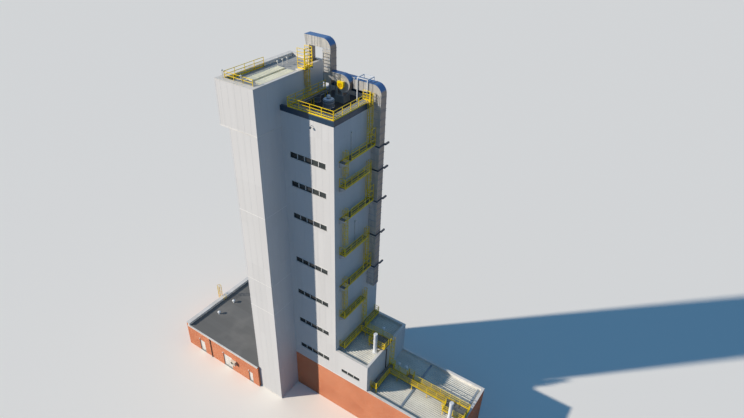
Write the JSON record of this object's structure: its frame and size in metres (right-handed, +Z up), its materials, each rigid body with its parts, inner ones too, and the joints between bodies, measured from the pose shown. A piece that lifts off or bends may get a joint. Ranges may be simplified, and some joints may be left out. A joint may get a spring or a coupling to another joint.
{
  "type": "1:2 scale model of a clad process tower building",
  "caption": "Tall clad process tower building with a stair shaft, window strips, outside ladders and platforms, roof fan and ducts, a low hall and an annex with hinged doors.",
  "frame": {"origin": "on the ground at the centre of the shaft's front part", "axes": "+X along the fronts from the annex towards the hall, +Y from the front into the building, +Z up"},
  "size_m": [23.3048, 7.35, 25.94],
  "materials": {
    "cladding": "profiled, satin",
    "plinth_render": "matt",
    "parapet_cap": "satin",
    "concrete": "rough, stands for concrete",
    "dark_roofing": "matt",
    "pale_roofing": "matt",
    "roof_rib": "satin",
    "yellow_rail": "satin",
    "galvanised_grating": "galvanised",
    "duct_sheet": "satin sheet",
    "navy_steel": "satin",
    "pale_steel": "satin",
    "window_frame": "satin",
    "window_glass": "tinted",
    "door_white": "satin",
    "unit_plastic": "satin",
    "brown_pipe": "satin",
    "lamp_plastic": "satin"
  },
  "bodies": {
    "building": {"shaft_front_wall": "cladding", "shaft_side_walls": "cladding", "shaft_cross_walls": "cladding", "head_cross_walls": "cladding", "head_side_walls": "cladding", "shaft_roof": "pale_roofing", "shaft_roof_strips": "pale_roofing", "roof_rails": "yellow_rail", "main_front_wall": "cladding", "main_side_walls": "cladding", "main_rear_wall": "cladding", "main_floors": "concrete", "main_roof": "dark_roofing", "window_frames": "window_frame", "window_glass": "window_glass", "roof_fascia": "navy_steel", "roof_walkway": "galvanised_grating", "platform_decks": "galvanised_grating", "platform_beams": "galvanised_grating", "platform_brackets": "galvanised_grating", "platform_rails": "yellow_rail", "ladders": "yellow_rail", "cage_straps": "yellow_rail", "cage_hoops": "yellow_rail", "duct_arch": "duct_sheet", "duct_riser": "duct_sheet", "roof_duct": "duct_sheet", "duct_brackets": "navy_steel", "fan_casing": "duct_sheet", "fan_plinth": "concrete", "fan_guard": "yellow_rail", "duct_frame": "pale_steel", "roof_vents": "pale_steel", "step_cross_walls": "cladding", "step_right_wall": "cladding", "low_roofs": "pale_roofing", "plinth_walls": "plinth_render", "hall_right_wall": "plinth_render", "roof_ribs": "roof_rib", "cross_caps": "parapet_cap", "side_caps": "parapet_cap", "chimneys": "pale_steel", "catwalk_decks": "galvanised_grating", "catwalk_legs": "galvanised_grating", "catwalk_rails": "yellow_rail", "annex_front_piers": "plinth_render", "annex_lintels": "plinth_render", "annex_left_wall": "plinth_render", "annex_rear_wall": "plinth_render", "annex_roof": "dark_roofing", "ground_floors": "concrete", "door_jambs": "door_white", "door_heads": "door_white", "cooling_unit": "unit_plastic", "downpipe": "brown_pipe", "wall_lamps": "lamp_plastic"},
    "door_1": {"door_1_leaf": "door_white"},
    "door_2_left": {"door_2_left_leaf": "door_white"},
    "door_2_right": {"door_2_right_leaf": "door_white"},
    "door_3": {"door_3_leaf": "door_white"}
  },
  "joints": [
    {"name": "door_1_hinge", "type": "hinge", "parent": "building", "child": "door_1", "pos_m": [-7.528, -2.106, 0.6], "axis": [0, 0, -1], "range_deg": [0, 90]},
    {"name": "door_2_left_hinge", "type": "hinge", "parent": "building", "child": "door_2_left", "pos_m": [-4.818, -2.106, 0.6], "axis": [0, 0, -1], "range_deg": [0, 90]},
    {"name": "door_2_right_hinge", "type": "hinge", "parent": "building", "child": "door_2_right", "pos_m": [-3.932, -2.106, 0.6], "axis": [0, 0, 1], "range_deg": [0, 90]},
    {"name": "door_3_hinge", "type": "hinge", "parent": "building", "child": "door_3", "pos_m": [-2.078, -2.106, 0.6], "axis": [0, 0, -1], "range_deg": [0, 90]}
  ]
}
